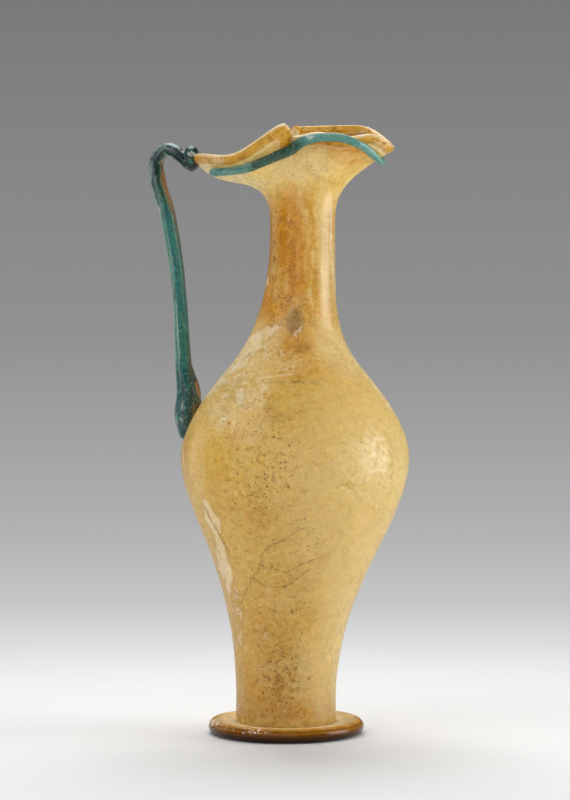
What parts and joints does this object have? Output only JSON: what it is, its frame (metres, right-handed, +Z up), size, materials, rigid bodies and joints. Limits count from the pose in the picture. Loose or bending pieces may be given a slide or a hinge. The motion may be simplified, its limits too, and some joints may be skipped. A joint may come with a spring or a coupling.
{
  "type": "oinochoe",
  "caption": "Blown glass oinochoe with a tall neck, pinched trefoil mouth, applied rim thread, looped ribbed strap handle and pad foot.",
  "frame": {"origin": "centre of the foot's flat underside", "axes": "+Z up, spout towards +X, handle on the -X side"},
  "size_m": [0.106, 0.0918, 0.2437],
  "materials": {
    "amber_glass": "translucent amber glass, weathered and pitted",
    "brown_glass": "dark amber-brown glass",
    "pale_teal_glass": "dulled blue-green glass",
    "teal_glass": "deep blue-green glass with pale weathering"
  },
  "bodies": {
    "root": {"vessel_body": "amber_glass", "foot_pad": "brown_glass", "rim_trail": "pale_teal_glass", "handle": "teal_glass"}
  },
  "joints": []
}
